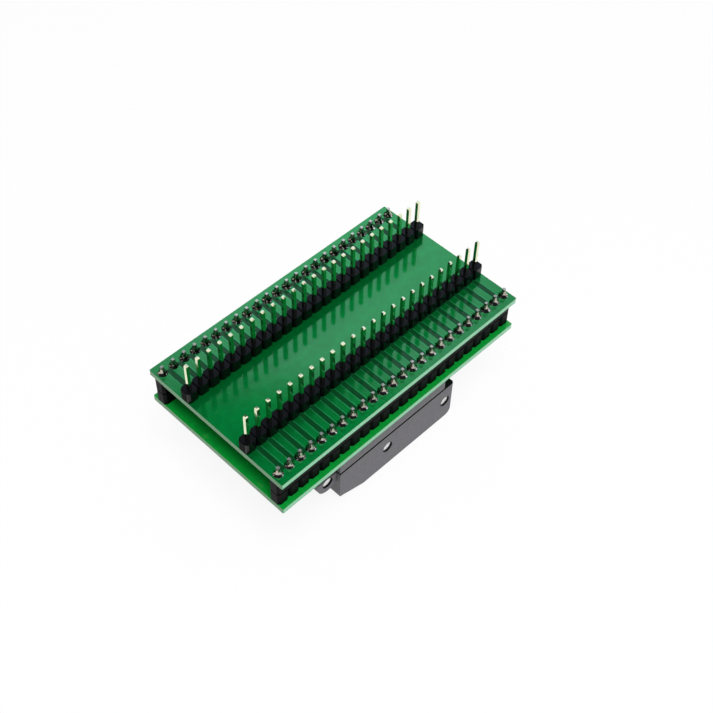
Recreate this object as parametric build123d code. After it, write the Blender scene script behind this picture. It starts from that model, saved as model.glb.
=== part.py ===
from build123d import *
import os

# Test socket adapter: two stacked circuit boards that carry a clamshell chip socket.
# It stands on the closed socket lid with its plug pins up. +X runs along the pin rows,
# and the origin is under the middle of the boards, at the lid's outer face. Sizes in mm.

# Driving dimensions: pin rows
pitch = 2.54
pins_per_row = 24
plug_row_spacing = 15.24
link_row_spacing = 30.48

# Driving dimensions: boards
board_end_margin = 0.02
board_side_margin = 2.26
board_thickness = 1.2
board_corner = 0.2
board_gap = 6.2

# Driving dimensions: plug header on the upper board
strip_width = 2.5
header_height = 2.5
plug_pin = 0.64
plug_pin_reach = 6.5
plug_pin_tip = 0.35
plug_tip_taper = 20
plug_tail = 1.4
notch_depth = 0.45
notch_half_width = 0.5

# Driving dimensions: strips that link the boards
socket_strip_height = 3.0
pin_strip_height = 2.9
link_pin = 0.5
link_socket_depth = 2.6
link_tail_reach = 1.8
link_pin_reach = 2.4
link_pin_tail = 1.3
link_clearance = 0.03

# Driving dimensions: socket lid
lid_height = 9.6
lid_left = -14.0
lid_right = 17.5
lid_ramp_length = 7.8
lid_ramp_rise = 2.5
lid_floor = 2.8
lid_side_wall = 2.2
lid_cavity_gap = 0.3
lid_end_wall = 1.2
lid_foot_round = 1.8
lid_corner_round = 0.6
panel_length = 14.0
panel_width = 20.0
panel_depth = 0.4
panel_corner = 1.5
panel_x = 4.6

# Driving dimensions: socket base
seam = 0.5
base_height = 7.4
base_right = 15.3
base_corner_round = 1.0
base_step = 1.6
base_step_inset = 0.9
base_foot_gap = 1.14
peg_radius = 0.8
peg_x = 10.5
peg_y = 7.0
nest_drop = 1.9
nest_margin = 2.5
nest_side_margin = 3.3

# Driving dimensions: chip nest and contacts
chip_length = 18.4
chip_width = 12.0
chip_clearance = 0.1
chip_seat_depth = 1.4
chip_lead_reach = 0.8
chip_pitch = 0.5
contacts_per_side = 24
contact_thickness = 0.2
contact_slot = 0.3
contact_arm = 0.45
contact_tip_recess = 0.25
contact_bar_height = 1.0
contact_reach = 1.0
inner_tail_offset = 0.55
outer_tail_offset = 1.85
comb_depth = 2.8
comb_wall = 0.5
comb_end_wall = 0.6
comb_recess = 0.4
comb_fit = 0.05

# Driving dimensions: cross pins and hinge
pin_radius = 1.0
pin_recess = 0.25
counterbore_gap = 0.2
counterbore_depth = 0.8
running_clearance = 0.04
hinge_x = -16.3
hinge_drop = 1.2
lug_radius = 2.5
lug_setback = 1.0
lug_thickness = 3.0
lug_top = 4.1
knuckle_radius = 2.3
hinge_gap = 0.2

# Driving dimensions: pressure pad
pad_pin_x = -1.2
pad_pin_drop = 2.2
pad_overhang = 0.5
pad_side_gap = 0.9
pad_floor_gap = 0.5
pad_rib_height = 0.5
pad_gap = 0.3
pad_rib_width = 1.0
pad_boss_half_length = 1.9
pad_relief_gap = 0.95
pad_relief_half_width = 6.0
pad_relief_depth = 1.6

# Driving dimensions: latch lever and its spring
latch_pin_x = 15.15
latch_pin_z = 5.55
latch_half_width = 5.0
latch_side_gap = 0.3
latch_boss_radius = 1.9
latch_arm_thickness = 1.4
latch_arm_gap = 0.4
latch_bite = 0.8
latch_nose_height = 1.7
latch_nose_face = 0.6
latch_catch_height = 2.5
latch_catch_thickness = 0.6
latch_catch_gap = 0.1
latch_thumb_reach = 1.1
latch_thumb_bottom = 0.9
latch_thumb_top = 4.7
latch_groove = 0.3
latch_grooves = 3
latch_foot_left = 1.55
latch_foot_drop = 2.2
latch_swing_room = 1.2
spring_thickness = 0.3
spring_half_width = 2.0
spring_length = 5.5
spring_rise = 1.5
spring_gap = 0.05
stake_radius = 0.6
stake_height = 0.7

# Heights of the stack, from the lid's outer face up
base_bottom = lid_height + seam
lower_board_bottom = base_bottom + base_height
lower_board_top = lower_board_bottom + board_thickness
upper_board_bottom = lower_board_top + board_gap
upper_board_top = upper_board_bottom + board_thickness
plug_tip_z = upper_board_top + header_height + plug_pin_reach
nest_face = base_bottom - nest_drop
hinge_z = lid_height - hinge_drop
pad_pin_z = nest_face - pad_pin_drop

# Places that several pieces share
board_length = pins_per_row * pitch + 2 * board_end_margin
board_width = link_row_spacing + 2 * board_side_margin
plug_row = plug_row_spacing / 2
link_row = link_row_spacing / 2
link_bore = link_pin + 2 * link_clearance
nest_half_length = chip_width / 2 + nest_margin
nest_half_width = chip_length / 2 + nest_side_margin
cavity_side = nest_half_width + lid_cavity_gap
socket_side = cavity_side + lid_side_wall
foot_side = link_row - base_foot_gap
cavity_left = lid_left + lid_side_wall
cavity_right = lid_right - lid_end_wall
pad_half_length = chip_width / 2 + pad_overhang
pad_half_width = cavity_side - pad_side_gap
seat_half_length = chip_width / 2 + chip_clearance
seat_half_width = chip_length / 2 + chip_clearance
comb_face = nest_face + comb_recess
comb_half_length = contacts_per_side * chip_pitch / 2 + comb_end_wall
comb_inner = seat_half_width
comb_outer = comb_inner + comb_depth
contact_tip_z = nest_face + contact_tip_recess
contact_tip_y = chip_length / 2 + chip_lead_reach - contact_arm / 2
contact_tail_top = lower_board_top + contact_reach
lug_outer = socket_side - lug_setback
lug_inner = lug_outer - lug_thickness
knuckle_side = lug_inner - hinge_gap
catch_z = base_bottom + latch_catch_height
arm_left = base_right + latch_arm_gap
arm_right = arm_left + latch_arm_thickness
notch_side = latch_half_width + latch_side_gap
foot_left = latch_pin_x - latch_foot_left
foot_bottom = latch_pin_z - latch_foot_drop
spring_right = foot_left - spring_gap
spring_left = spring_right - spring_length
stake_x = spring_left + spring_half_width


def block(x0, x1, y0, y1, z0, z1):
    """A rectangular block between two corners."""
    place = Pos((x0 + x1) / 2, (y0 + y1) / 2, (z0 + z1) / 2)
    return place * Box(x1 - x0, y1 - y0, z1 - z0)


def side_plate(points, half_width):
    """A plate whose outline lies in XZ, as wide to each side of the middle."""
    outline = make_face(Polyline(points, close=True))
    return extrude(Plane.XZ * outline, amount=half_width, both=True)


def crosswise(x, z, radius, y0, y1):
    """A round bar along Y between two y values."""
    bar = Cylinder(radius, y1 - y0)
    return Pos(x, (y0 + y1) / 2, z) * Rot(90, 0, 0) * bar


def counterbores(x, z, side):
    """The two wider mouths of a cross pin's hole, at the side faces."""
    mouth = pin_radius + counterbore_gap
    return [crosswise(x, z, mouth, -side, -side + counterbore_depth),
            crosswise(x, z, mouth, side - counterbore_depth, side)]


def row_places():
    """The x of each pin in a row."""
    return [(i - (pins_per_row - 1) / 2) * pitch for i in range(pins_per_row)]


def contact_places():
    """The x of each chip contact in a row, with the offset of its tail from the seat's side."""
    first = pad_pin_x - (contacts_per_side - 1) / 2 * chip_pitch
    offsets = (inner_tail_offset, outer_tail_offset)
    return [(first + i * chip_pitch, offsets[i % 2]) for i in range(contacts_per_side)]


def square_holes(size, y):
    """The plan of one row of square holes."""
    return [Pos(x, y) * Rectangle(size, size) for x in row_places()]


def save(name, *solids):
    """Writes one node, as one solid or as a group of separate solids."""
    shape = solids[0] if len(solids) == 1 else Compound(children=list(solids))
    export_step(shape, f"parts/{name}.step")


def strip_edge(notches):
    """One long edge of a strip, from its left end to its right end, with its cut corners."""
    half = strip_width / 2
    end = pins_per_row * pitch / 2
    edge = [(-end, -half + notch_depth), (-end + notch_half_width, -half)]
    for i in range(1, notches):
        x = -end + i * pitch
        edge += [(x - notch_half_width, -half), (x, -half + notch_depth), (x + notch_half_width, -half)]
    return edge + [(end - notch_half_width, -half), (end, -half + notch_depth)]


def strip_plan(y, hole, notched_sides):
    """The plan of a pin strip: notched between the pins on no side, the outer side or both."""
    outer = strip_edge(pins_per_row if notched_sides > 0 else 0)
    inner = strip_edge(pins_per_row if notched_sides > 1 else 0)
    side = 1 if y > 0 else -1
    outline = [(-side * x, -side * v) for x, v in outer] + [(side * x, side * v) for x, v in inner]
    plan = Pos(0, y) * make_face(Polyline(outline, close=True))
    return plan - square_holes(hole, y)


def strip(y, hole, z, height, notched_sides):
    """A moulded pin strip with one square hole per pin."""
    return Pos(0, 0, z) * extrude(strip_plan(y, hole, notched_sides), amount=height)


def bar_up(x, y, size, z0, z1):
    """A square wire that stands between two heights."""
    return block(x - size / 2, x + size / 2, y - size / 2, y + size / 2, z0, z1)


def plug_pin_at(x, y):
    """A square header pin with a tapered tip."""
    shoulder = plug_tip_z - plug_pin_tip
    tip = extrude(Pos(x, y, shoulder) * Rectangle(plug_pin, plug_pin),
                  amount=plug_pin_tip, taper=plug_tip_taper)
    return bar_up(x, y, plug_pin, upper_board_bottom - plug_tail, shoulder) + tip


def link_contact_at(x, y):
    """A contact's solid upper end in its strip, with its solder tail through the upper board."""
    bottom = upper_board_bottom - socket_strip_height + link_socket_depth
    return bar_up(x, y, link_bore, bottom, upper_board_top + link_tail_reach)


def link_pin_at(x, y):
    """A straight pin through the lower board, up into its contact."""
    top = upper_board_bottom - socket_strip_height + link_pin_reach
    return bar_up(x, y, link_pin, lower_board_bottom - link_pin_tail, top)


def board_plan():
    """The outline that both boards share."""
    return RectangleRounded(board_length, board_width, board_corner)


def upper_board():
    """The board that carries the plug header, with its solder holes."""
    plan = board_plan()
    for side in (-1, 1):
        plan -= square_holes(plug_pin, side * plug_row)
        plan -= square_holes(link_bore, side * link_row)
    return Pos(0, 0, upper_board_bottom) * extrude(plan, amount=board_thickness)


def peg_places():
    """The places of the socket's two locating pegs."""
    return [(peg_x, -peg_y), (-peg_x, peg_y)]


def lower_board():
    """The board that carries the socket, with its solder holes and peg holes."""
    plan = board_plan()
    for side in (-1, 1):
        plan -= square_holes(link_pin, side * link_row)
        plan -= [Pos(x, side * (comb_inner + offset)) * Rectangle(contact_thickness, contact_arm)
                 for x, offset in contact_places()]
    plan -= [Pos(x, y) * Circle(peg_radius) for x, y in peg_places()]
    return Pos(0, 0, lower_board_bottom) * extrude(plan, amount=board_thickness)


def base_lug(side):
    """A hinge lug that reaches from the base's end down around the hinge pin."""
    y0, y1 = sorted((side * lug_inner, side * lug_outer))
    outer = hinge_x - lug_radius
    top = base_bottom + lug_top
    root = lid_left + lug_radius
    inner = lid_left - hinge_gap
    lug = side_plate([(outer, hinge_z), (outer, base_bottom), (lid_left, top), (root, top),
                      (root, base_bottom), (inner, base_bottom), (inner, hinge_z)], socket_side)
    lug = lug & block(outer, root, y0, y1, 0, top)
    return lug + crosswise(hinge_x, hinge_z, lug_radius, y0, y1)


def socket_base():
    """The base: flange, raised foot on the board, chip nest, hinge lugs and latch catch."""
    step_z = lower_board_bottom - base_step
    flange = block(lid_left, base_right, -socket_side, socket_side, base_bottom, step_z)
    flange = fillet(flange.edges().filter_by(Axis.Z).group_by(Axis.X)[-1], base_corner_round)
    foot = block(lid_left + base_step_inset, base_right - base_step_inset,
                 -foot_side, foot_side, step_z, lower_board_bottom)
    nest = block(pad_pin_x - nest_half_length, pad_pin_x + nest_half_length,
                 -nest_half_width, nest_half_width, nest_face, base_bottom)
    base = flange + foot + nest + base_lug(-1) + base_lug(1)
    seat_top = nest_face + chip_seat_depth
    base -= block(pad_pin_x - seat_half_length, pad_pin_x + seat_half_length,
                  -seat_half_width, seat_half_width, nest_face, seat_top)
    for side in (-1, 1):
        y0, y1 = sorted((side * comb_inner, side * comb_outer))
        base -= block(pad_pin_x - comb_half_length, pad_pin_x + comb_half_length,
                      y0, y1, nest_face, lower_board_bottom)
    for z0, z1 in ((base_bottom, catch_z - latch_catch_thickness), (catch_z, step_z)):
        base -= block(base_right - latch_bite - latch_arm_gap, base_right, -notch_side, notch_side,
                      z0, z1)
    base -= crosswise(hinge_x, hinge_z, pin_radius, -lug_outer, lug_outer)
    base -= counterbores(hinge_x, hinge_z, lug_outer)
    for x, y in peg_places():
        base += Pos(x, y, lower_board_bottom + board_thickness / 2) * Cylinder(peg_radius, board_thickness)
    return base


def contact_comb(side):
    """The insulator of one contact row: a back wall and a tooth between neighbouring contacts."""
    back = comb_outer - comb_fit - comb_wall
    length = 2 * (comb_half_length - comb_fit)
    depth = comb_depth - 2 * comb_fit
    plan = Pos(pad_pin_x, side * (comb_inner + comb_outer) / 2) * Rectangle(length, depth)
    slot_middle = (comb_inner + back) / 2
    plan -= [Pos(x, side * slot_middle) * Rectangle(contact_slot, back - comb_inner)
             for x, offset in contact_places()]
    return Pos(0, 0, comb_face) * extrude(plan, amount=lower_board_bottom - comb_face)


def chip_contact(x, side, tail_offset):
    """A stamped contact: tail through the board, bar in the comb, and a bowed arm to the tip."""
    bar_bottom = lower_board_bottom - base_step - contact_bar_height
    bar_top = bar_bottom + contact_bar_height
    bar_inner = comb_inner + inner_tail_offset - contact_arm / 2
    bar_outer = comb_inner + outer_tail_offset + contact_arm / 2
    tail_left = comb_inner + tail_offset - contact_arm / 2
    bow = (bar_bottom + contact_tip_z) / 2
    tip_left = contact_tip_y - contact_arm / 2
    tip_right = contact_tip_y + contact_arm / 2
    points = [(bar_inner, bar_bottom), (bar_inner, bar_top)]
    if tail_left > bar_inner:
        points.append((tail_left, bar_top))
    points += [(tail_left, contact_tail_top), (tail_left + contact_arm, contact_tail_top)]
    if tail_left + contact_arm < bar_outer:
        points += [(tail_left + contact_arm, bar_top), (bar_outer, bar_top)]
    points += [(bar_outer, bow), (tip_right, contact_tip_z), (tip_left, contact_tip_z),
               (tip_left, contact_tip_z + contact_arm), (bar_outer - contact_arm, bow + contact_arm / 2),
               (bar_outer - contact_arm, bar_bottom)]
    outline = make_face(Polyline([(side * y, z) for y, z in points], close=True))
    blade = extrude(Plane.YZ * outline, amount=contact_thickness / 2, both=True)
    return Pos(x, 0, 0) * blade


def lid_shell():
    """The lid's outer form: flat foot face, ramp towards the hinge and a rounded latch end."""
    ramp_end = lid_left + lid_ramp_length
    outline = make_face(Polyline([(lid_left, lid_ramp_rise), (ramp_end, 0), (lid_right, 0),
                                  (lid_right, lid_height), (lid_left, lid_height)], close=True))
    foot_corner = outline.vertices().group_by(Axis.Y)[0].sort_by(Axis.X)[-1]
    shell = extrude(Plane.XZ * fillet(foot_corner, lid_foot_round), amount=socket_side, both=True)
    upright = shell.edges().filter_by(Axis.Z).group_by(Axis.X)[-1]
    return fillet(upright, lid_corner_round)


def socket_lid():
    """The lid: a shell with hinge knuckle, pin holes, latch notch and a sunk panel outside."""
    lid = lid_shell()
    lid -= block(cavity_left, cavity_right, -cavity_side, cavity_side, lid_floor, lid_height)
    for side in (-1, 1):
        y0, y1 = sorted((side * (lug_inner - hinge_gap), side * (lug_outer + hinge_gap)))
        lid -= crosswise(hinge_x, hinge_z, lug_radius + hinge_gap, y0, y1)
    knuckle = crosswise(hinge_x, hinge_z, knuckle_radius, -knuckle_side, knuckle_side)
    web = block(hinge_x, lid_left, -knuckle_side, knuckle_side,
                hinge_z - knuckle_radius, lid_height)
    lid += knuckle + web
    lid -= crosswise(hinge_x, hinge_z, pin_radius + running_clearance, -knuckle_side, knuckle_side)
    for x, z in ((pad_pin_x, pad_pin_z), (latch_pin_x, latch_pin_z)):
        lid -= crosswise(x, z, pin_radius, -socket_side, socket_side)
        lid -= counterbores(x, z, socket_side)
    lid -= block(cavity_right - latch_swing_room, lid_right, -notch_side, notch_side, 0, lid_height)
    panel = Pos(panel_x, 0) * RectangleRounded(panel_length, panel_width, panel_corner)
    lid -= extrude(panel, amount=panel_depth)
    stake = Cylinder(stake_radius, stake_height)
    return lid + Pos(stake_x, 0, lid_floor + stake_height / 2) * stake


def latch_lever():
    """The latch: boss on its pin, arm with a hook under the base's catch, and a ribbed thumb piece."""
    nose_left = base_right - latch_bite
    nose_z = catch_z + latch_catch_gap
    nose_top = nose_z + latch_nose_height
    arm = side_plate([(arm_left, latch_pin_z), (arm_right, latch_pin_z), (arm_right, nose_top),
                      (arm_left, nose_top), (nose_left, nose_z + latch_nose_face),
                      (nose_left, nose_z), (arm_left, nose_z)], latch_half_width)
    boss = crosswise(latch_pin_x, latch_pin_z, latch_boss_radius, -latch_half_width, latch_half_width)
    thumb_right = lid_right + latch_thumb_reach
    thumb = side_plate([(latch_pin_x, latch_pin_z), (latch_pin_x, latch_pin_z - latch_boss_radius),
                        (arm_left + latch_arm_gap, latch_pin_z - latch_boss_radius),
                        (arm_right, latch_thumb_bottom), (thumb_right, latch_thumb_bottom),
                        (thumb_right, latch_thumb_top), (arm_right, latch_pin_z)], latch_half_width)
    foot = block(foot_left, latch_pin_x, -spring_half_width, spring_half_width, foot_bottom, latch_pin_z)
    lever = arm + boss + thumb + foot
    groove_step = (latch_thumb_top - latch_thumb_bottom) / (latch_grooves + 1)
    for i in range(latch_grooves):
        z = latch_thumb_bottom + (i + 1) * groove_step
        lever -= block(thumb_right - latch_groove, thumb_right, -latch_half_width, latch_half_width,
                       z - latch_groove / 2, z + latch_groove / 2)
    bore = crosswise(latch_pin_x, latch_pin_z, pin_radius + running_clearance,
                     -latch_half_width, latch_half_width)
    return lever - bore


def latch_spring():
    """The leaf spring: staked flat on the lid's floor, and bent up against the lever's foot."""
    top = lid_floor + spring_thickness
    bend = spring_right - spring_thickness
    rise = lid_floor + spring_rise
    leaf = side_plate([(spring_left, lid_floor), (spring_right, lid_floor), (spring_right, rise),
                       (bend, rise), (bend, top), (spring_left, top)], spring_half_width)
    hole = Cylinder(stake_radius, spring_thickness)
    return leaf - Pos(stake_x, 0, lid_floor + spring_thickness / 2) * hole


def pressure_pad():
    """The pad that swivels on its pin and presses the chip's leads with two long ribs."""
    left = pad_pin_x - pad_half_length
    right = pad_pin_x + pad_half_length
    pad_bottom = lid_floor + pad_floor_gap
    pad_top = nest_face - pad_gap
    rib_root = pad_top - pad_rib_height
    pad = block(left, right, -pad_half_width, pad_half_width, pad_bottom, rib_root)
    for side in (-1, 1):
        y0, y1 = sorted((side * (contact_tip_y - pad_rib_width / 2),
                         side * (contact_tip_y + pad_rib_width / 2)))
        pad += block(left, right, y0, y1, rib_root, pad_top)
    pad += block(pad_pin_x - pad_boss_half_length, pad_pin_x + pad_boss_half_length,
                 -pad_half_width, pad_half_width, rib_root, pad_top)
    for side in (-1, 1):
        x0, x1 = sorted((pad_pin_x + side * (pad_boss_half_length + pad_relief_gap),
                         pad_pin_x + side * (pad_half_length - pad_rib_width)))
        pad -= block(x0, x1, -pad_relief_half_width, pad_relief_half_width,
                     pad_bottom, pad_bottom + pad_relief_depth)
    return pad - crosswise(pad_pin_x, pad_pin_z, pin_radius + running_clearance,
                           -pad_half_width, pad_half_width)


def cross_pin(x, z, side):
    """A steel pin whose ends stop short of the side faces."""
    return crosswise(x, z, pin_radius, -side + pin_recess, side - pin_recess)


os.makedirs("parts", exist_ok=True)

save("upper_board", upper_board())
save("lower_board", lower_board())
for name, side in (("front", -1), ("rear", 1)):
    y_plug = side * plug_row
    y_link = side * link_row
    save(f"plug_header_{name}", strip(y_plug, plug_pin, upper_board_top, header_height, 2))
    save(f"plug_pins_{name}", *[plug_pin_at(x, y_plug) for x in row_places()])
    save(f"link_socket_strip_{name}",
         strip(y_link, link_bore, upper_board_bottom - socket_strip_height, socket_strip_height, 0))
    save(f"link_contacts_{name}", *[link_contact_at(x, y_link) for x in row_places()])
    save(f"link_pin_strip_{name}", strip(y_link, link_pin, lower_board_top, pin_strip_height, 1))
    save(f"link_pins_{name}", *[link_pin_at(x, y_link) for x in row_places()])
    save(f"contact_comb_{name}", contact_comb(side))
    save(f"chip_contacts_{name}", *[chip_contact(x, side, offset) for x, offset in contact_places()])

save("socket_base", socket_base())
save("socket_lid", socket_lid())
save("hinge_pin", cross_pin(hinge_x, hinge_z, lug_outer))
save("pressure_pad", pressure_pad())
save("pad_pin", cross_pin(pad_pin_x, pad_pin_z, socket_side))
save("latch_lever", latch_lever())
save("latch_pin", cross_pin(latch_pin_x, latch_pin_z, socket_side))
save("latch_spring", latch_spring())
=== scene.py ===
import logging
import math
import random
from dataclasses import dataclass, replace
from enum import Enum
from typing import Any, Iterable

import bpy
from mathutils import Matrix, Vector


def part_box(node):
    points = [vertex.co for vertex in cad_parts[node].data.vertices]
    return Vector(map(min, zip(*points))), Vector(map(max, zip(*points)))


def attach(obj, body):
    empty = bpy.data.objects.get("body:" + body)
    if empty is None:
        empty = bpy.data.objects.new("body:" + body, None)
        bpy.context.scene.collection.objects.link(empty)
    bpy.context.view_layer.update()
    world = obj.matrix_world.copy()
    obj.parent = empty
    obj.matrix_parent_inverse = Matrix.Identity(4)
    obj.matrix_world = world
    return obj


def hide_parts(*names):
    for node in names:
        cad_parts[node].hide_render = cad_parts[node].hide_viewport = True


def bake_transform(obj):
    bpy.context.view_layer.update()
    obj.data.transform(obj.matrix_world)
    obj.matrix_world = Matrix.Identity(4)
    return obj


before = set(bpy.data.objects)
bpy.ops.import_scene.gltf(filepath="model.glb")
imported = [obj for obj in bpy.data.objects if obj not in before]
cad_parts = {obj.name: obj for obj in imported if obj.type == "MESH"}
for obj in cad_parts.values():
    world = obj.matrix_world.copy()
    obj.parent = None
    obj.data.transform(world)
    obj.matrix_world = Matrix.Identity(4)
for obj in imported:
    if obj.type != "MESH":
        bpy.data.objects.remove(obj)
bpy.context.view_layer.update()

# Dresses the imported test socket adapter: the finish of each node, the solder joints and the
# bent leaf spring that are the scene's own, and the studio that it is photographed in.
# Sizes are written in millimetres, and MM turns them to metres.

Material = bpy.types.Material
Node = bpy.types.Node
Object = bpy.types.Object
Socket = bpy.types.NodeSocket
Tree = bpy.types.NodeTree

MM = 0.001
LOG = logging.getLogger("adapter")
# The pins in one row of the plug, and the distance from one to the next.
ROW_PINS = 24
PIN_PITCH = 2.54
# Tracks and pads are drawn on a count of pins from the middle, which ends in a half at a pin.
HALF = 0.5
# Nearly all that a noise texture gives lies between these two values.
NOISE_LOW, NOISE_HIGH = 0.3, 0.7
# A face whose normal's part along an axis is above this looks along that axis.
LOOKS_ALONG = 0.9
# Corners that differ by less than this in height are level.
LEVEL_SLACK = 0.01


class Side(Enum):
    """The adapter's two long sides, by the ending that their nodes have."""

    FRONT = "front"
    REAR = "rear"


class Facing(Enum):
    """Which way a row of solder joints stands from its board."""

    UP = 1
    DOWN = -1


class TrackPlan(Enum):
    """How a board's tracks run between its pins."""

    STRAIGHT = "straight across, on both faces"
    FANNED = "out from the socket in nested elbows, on the lower face"


def both_sides(*stems: str) -> list[str]:
    """Gives the names that nodes with these stems have on the two long sides."""
    return [f"{stem}_{side.value}" for side in Side for stem in stems]


def linear(hex_colour: str) -> tuple[float, float, float, float]:
    """Turns an sRGB hex colour into linear light.

    Args:
        hex_colour: a colour such as "#1a2b3c".

    Returns:
        Red, green, blue and an alpha of one.
    """
    channels = [int(hex_colour[i:i + 2], 16) / 255 for i in (1, 3, 5)]
    light = [c / 12.92 if c <= 0.04045 else ((c + 0.055) / 1.055) ** 2.4 for c in channels]
    return (light[0], light[1], light[2], 1.0)


def feed(tree: Tree, node: Node, inputs: dict[Any, Any]) -> None:
    """Sets or links a node's inputs.

    Args:
        tree: the node tree that the node is in.
        node: the node.
        inputs: for an input's name or number, a value, an output to link from, or a node whose
            first output is linked from.
    """
    for key, value in inputs.items():
        source = value.outputs[0] if isinstance(value, Node) else value
        if isinstance(source, Socket):
            tree.links.new(source, node.inputs[key])
        else:
            node.inputs[key].default_value = source


def add(tree: Tree, kind: str, inputs: dict[Any, Any] | None = None, **settings: Any) -> Node:
    """Adds a node with its settings, its input values and the links into it.

    Args:
        tree: the node tree that gets the node.
        kind: the node's type name, without the "ShaderNode" that it begins with.
        inputs: what goes into the node, as feed takes it.
        settings: the node's own properties.

    Returns:
        The new node.
    """
    node = tree.nodes.new("ShaderNode" + kind)
    for name, value in settings.items():
        setattr(node, name, value)
    feed(tree, node, inputs or {})
    return node


def surface(name: str) -> tuple[Material, Node]:
    """Makes a material with only its surface shader.

    Args:
        name: the material's name.

    Returns:
        The material and its Principled node.
    """
    material = bpy.data.materials.new(name)
    material.use_nodes = True
    return material, material.node_tree.nodes["Principled BSDF"]


def object_millimetres(tree: Tree) -> Node:
    """Gives the object coordinates in millimetres, which patterns are drawn in."""
    place = add(tree, "TexCoord").outputs["Object"]
    return add(tree, "VectorMath", {0: place, "Scale": 1 / MM}, operation="SCALE")


def end_facing(tree: Tree) -> Node:
    """Gives one on the two short ends of a piece, and nought on faces that run along it."""
    normal = add(tree, "NewGeometry").outputs["True Normal"]
    return add(tree, "Math", {0: add(tree, "SeparateXYZ", {0: normal})}, operation="ABSOLUTE")


@dataclass(frozen=True)
class PinGrid:
    """The places of the pins, read from the frame, in millimetres."""

    pitch: float
    plug_row: float
    link_row: float

    @classmethod
    def from_frame(cls) -> "PinGrid":
        """Works the grid out from the boxes of the pins.

        Returns:
            The grid.
        """
        low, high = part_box("plug_pins_rear")
        link_low, link_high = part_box("link_contacts_rear")
        return cls(
            pitch=(high.x - low.x - (high.y - low.y)) / (ROW_PINS - 1) / MM,
            plug_row=(low.y + high.y) / 2 / MM,
            link_row=(link_low.y + link_high.y) / 2 / MM,
        )


@dataclass(frozen=True)
class BoardMaps:
    """Where a board's finish changes, as maps that run from nought to one over its surface.

    One is, in this order: where no copper is, on the rims of the tracks, where a highlight is
    painted, on the tinned pads, on the sawn edge, in the green skin at that edge's rims, and where
    the mask lies highest.
    """

    bare: Node
    rims: Node
    pads: Node
    sawn: Node
    skin: Node
    ripple: Node


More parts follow.
